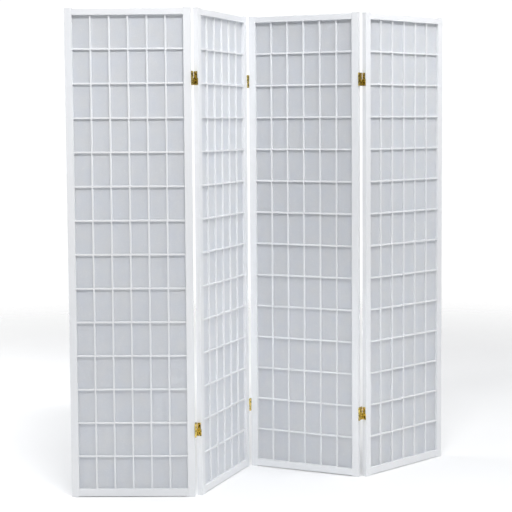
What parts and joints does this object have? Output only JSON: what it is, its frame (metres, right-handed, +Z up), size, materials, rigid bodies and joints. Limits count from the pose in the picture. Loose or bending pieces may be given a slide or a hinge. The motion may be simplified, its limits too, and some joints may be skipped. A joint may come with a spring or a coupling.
{
  "type": "folding room divider screen",
  "caption": "Free-standing folding screen: lattice panels backed with translucent paper, joined edge to edge by two-way hinges so each pair folds either way.",
  "frame": {"origin": "on the floor, at the middle of the standing screen's box", "axes": "+Z up; +Y from the front of the screen, where the lattice shows, to the rear; +X along the row of panels from the first to the last"},
  "size_m": [1.4538, 0.5572, 1.784],
  "materials": {
    "painted_frame": "white satin paint over softwood",
    "painted_lattice": "white satin paint over softwood",
    "rice_paper": "matt translucent fibre-reinforced paper",
    "hinge_brass": "lacquered brass plate, slightly aged",
    "hinge_pins": "polished pin ends",
    "screw_steel": "brass-plated steel"
  },
  "bodies": {
    "panel_1": {"panel_1_left_stile": "painted_frame", "panel_1_right_stile": "painted_frame", "panel_1_top_rail": "painted_frame", "panel_1_bottom_rail": "painted_frame", "panel_1_vertical_muntins": "painted_lattice", "panel_1_horizontal_muntins": "painted_lattice", "panel_1_paper": "rice_paper", "panel_1_hinge_screws": "screw_steel", "hinge_12_upper_left_leaf": "hinge_brass", "hinge_12_lower_left_leaf": "hinge_brass"},
    "panel_2": {"panel_2_left_stile": "painted_frame", "panel_2_right_stile": "painted_frame", "panel_2_top_rail": "painted_frame", "panel_2_bottom_rail": "painted_frame", "panel_2_vertical_muntins": "painted_lattice", "panel_2_horizontal_muntins": "painted_lattice", "panel_2_paper": "rice_paper", "panel_2_hinge_screws": "screw_steel", "hinge_12_upper_right_leaf": "hinge_brass", "hinge_12_lower_right_leaf": "hinge_brass", "hinge_23_upper_left_leaf": "hinge_brass", "hinge_23_lower_left_leaf": "hinge_brass"},
    "panel_3": {"panel_3_left_stile": "painted_frame", "panel_3_right_stile": "painted_frame", "panel_3_top_rail": "painted_frame", "panel_3_bottom_rail": "painted_frame", "panel_3_vertical_muntins": "painted_lattice", "panel_3_horizontal_muntins": "painted_lattice", "panel_3_paper": "rice_paper", "panel_3_hinge_screws": "screw_steel", "hinge_23_upper_right_leaf": "hinge_brass", "hinge_23_lower_right_leaf": "hinge_brass", "hinge_34_upper_left_leaf": "hinge_brass", "hinge_34_lower_left_leaf": "hinge_brass"},
    "panel_4": {"panel_4_left_stile": "painted_frame", "panel_4_right_stile": "painted_frame", "panel_4_top_rail": "painted_frame", "panel_4_bottom_rail": "painted_frame", "panel_4_vertical_muntins": "painted_lattice", "panel_4_horizontal_muntins": "painted_lattice", "panel_4_paper": "rice_paper", "panel_4_hinge_screws": "screw_steel", "hinge_34_upper_right_leaf": "hinge_brass", "hinge_34_lower_right_leaf": "hinge_brass"},
    "hinge_links_12": {"hinge_12_upper_link": "hinge_brass", "hinge_12_upper_pins": "hinge_pins", "hinge_12_lower_link": "hinge_brass", "hinge_12_lower_pins": "hinge_pins"},
    "hinge_links_23": {"hinge_23_upper_link": "hinge_brass", "hinge_23_upper_pins": "hinge_pins", "hinge_23_lower_link": "hinge_brass", "hinge_23_lower_pins": "hinge_pins"},
    "hinge_links_34": {"hinge_34_upper_link": "hinge_brass", "hinge_34_upper_pins": "hinge_pins", "hinge_34_lower_link": "hinge_brass", "hinge_34_lower_pins": "hinge_pins"}
  },
  "joints": [
    {"name": "front_pin_12", "type": "hinge", "parent": "panel_1", "child": "hinge_links_12", "pos_m": [-0.26948, -0.27533, 0.892], "axis": [0, 0, 1], "range_deg": [-180, 0]},
    {"name": "rear_pin_12", "type": "hinge", "parent": "hinge_links_12", "child": "panel_2", "pos_m": [-0.26843, -0.25135, 0.892], "axis": [0, 0, 1], "range_deg": [-68.5, 111.5]},
    {"name": "front_pin_23", "type": "hinge", "parent": "panel_2", "child": "hinge_links_23", "pos_m": [-0.05859, 0.16095, 0.892], "axis": [0, 0, -1], "range_deg": [-92, 88]},
    {"name": "rear_pin_23", "type": "hinge", "parent": "hinge_links_23", "child": "panel_3", "pos_m": [-0.04807, 0.18252, 0.892], "axis": [0, 0, -1], "range_deg": [-180, 0]},
    {"name": "front_pin_34", "type": "hinge", "parent": "panel_3", "child": "hinge_links_34", "pos_m": [0.35665, -0.04158, 0.892], "axis": [0, 0, 1], "range_deg": [-180, 0]},
    {"name": "rear_pin_34", "type": "hinge", "parent": "hinge_links_34", "child": "panel_4", "pos_m": [0.36717, -0.02001, 0.892], "axis": [0, 0, 1], "range_deg": [-67, 113]}
  ]
}
